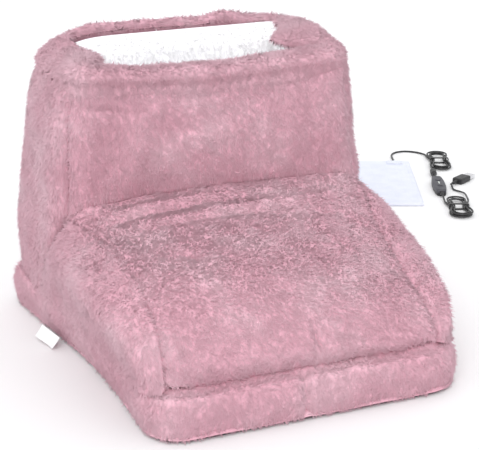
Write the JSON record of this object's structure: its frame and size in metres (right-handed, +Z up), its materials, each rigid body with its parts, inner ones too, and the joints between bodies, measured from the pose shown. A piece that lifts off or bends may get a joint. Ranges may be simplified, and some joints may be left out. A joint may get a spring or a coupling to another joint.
{
  "type": "electric foot warmer",
  "caption": "Plush boot-shaped foot warmer for both feet, on a cushioned base with a rear pocket for a USB heating pad with an inline button controller.",
  "frame": {"origin": "centre of the sole's flat underside, on the floor", "axes": "+Z up out of the boot's mouth, -Y towards the toe, +Y towards the heel and the pad pocket's mouth, +X towards the wearer's right"},
  "size_m": [0.6896, 0.7125, 0.287],
  "materials": {
    "fur_plush": "pink long-pile plush, matt",
    "rim_plush": "pink short-pile velour, soft sheen",
    "wadding": "white polyester wadding",
    "lining_plush": "white short-pile plush",
    "foam": "open-cell foam block",
    "sole_fabric": "dark anti-slip sole fabric with rubber dots",
    "label_tape": "white woven tape, bare",
    "pad_cloth": "white non-woven cloth, matt",
    "heating_wire": "insulated resistance wire",
    "black_plastic": "black moulded plastic",
    "grey_plastic": "dark grey moulded plastic",
    "black_rubber": "black flexible moulding",
    "cord_jacket": "black PVC jacket, soft sheen",
    "circuit_board": "green board",
    "lamp_plastic": "clear diffuser, unlit",
    "plug_metal": "nickel-plated sheet",
    "plug_tongue": "white moulded tongue"
  },
  "bodies": {
    "boot_and_pad_set": {"base_fur_band": "fur_plush", "base_foam": "foam", "sole_sheet": "sole_fabric", "shaft_front_fur": "fur_plush", "shaft_front_wadding": "wadding", "shaft_front_lining": "lining_plush", "shaft_right_fur": "fur_plush", "shaft_right_wadding": "wadding", "shaft_right_lining": "lining_plush", "shaft_left_fur": "fur_plush", "shaft_left_wadding": "wadding", "shaft_left_lining": "lining_plush", "shaft_back_fur": "fur_plush", "shaft_back_wadding": "wadding", "shaft_back_lining": "lining_plush", "toe_top_fur": "fur_plush", "toe_top_wadding": "wadding", "toe_top_lining": "lining_plush", "toe_right_fur": "fur_plush", "toe_right_wadding": "wadding", "toe_right_lining": "lining_plush", "toe_left_fur": "fur_plush", "toe_left_wadding": "wadding", "toe_left_lining": "lining_plush", "rim_cuff": "rim_plush", "footbed_plush": "lining_plush", "care_label": "label_tape", "pad_sheet_bottom": "pad_cloth", "pad_sheet_top": "pad_cloth", "pad_edge_seam": "pad_cloth", "pad_heating_wire": "heating_wire", "pad_thermostat": "black_plastic", "pad_lead_patch": "pad_cloth", "pad_lead_relief": "black_rubber", "pad_lead": "cord_jacket", "cord_hank_1": "cord_jacket", "cord_hank_1_tie": "black_plastic", "connector_socket": "black_plastic", "connector_plug": "black_plastic", "link_cord": "cord_jacket", "controller_lower_shell": "black_plastic", "controller_upper_shell": "grey_plastic", "controller_board": "circuit_board", "key_switch_heat": "black_plastic", "key_switch_timer": "black_plastic", "status_lamp_strip": "lamp_plastic", "controller_relief_front": "black_rubber", "controller_relief_back": "black_rubber", "controller_cord": "cord_jacket", "cord_hank_2": "cord_jacket", "cord_hank_2_tie": "black_plastic", "plug_lead": "cord_jacket", "usb_relief": "black_rubber", "usb_overmould": "black_plastic", "usb_shell": "plug_metal", "usb_tongue": "plug_tongue"},
    "pocket_flap": {"pocket_flap": "fur_plush"},
    "button_heat": {"button_heat": "grey_plastic"},
    "button_timer": {"button_timer": "grey_plastic"}
  },
  "joints": [
    {"name": "pocket_flap_hinge", "type": "hinge", "parent": "boot_and_pad_set", "child": "pocket_flap", "pos_m": [0, 0.2023, 0.04], "axis": [1, 0, 0], "range_deg": [0, 150]},
    {"name": "button_heat_press", "type": "slide", "parent": "boot_and_pad_set", "child": "button_heat", "axis": [0, 0, -1], "range_m": [0, 0.0005], "stiffness_N_per_m": 400},
    {"name": "button_timer_press", "type": "slide", "parent": "boot_and_pad_set", "child": "button_timer", "axis": [0, 0, -1], "range_m": [0, 0.0005], "stiffness_N_per_m": 400}
  ]
}
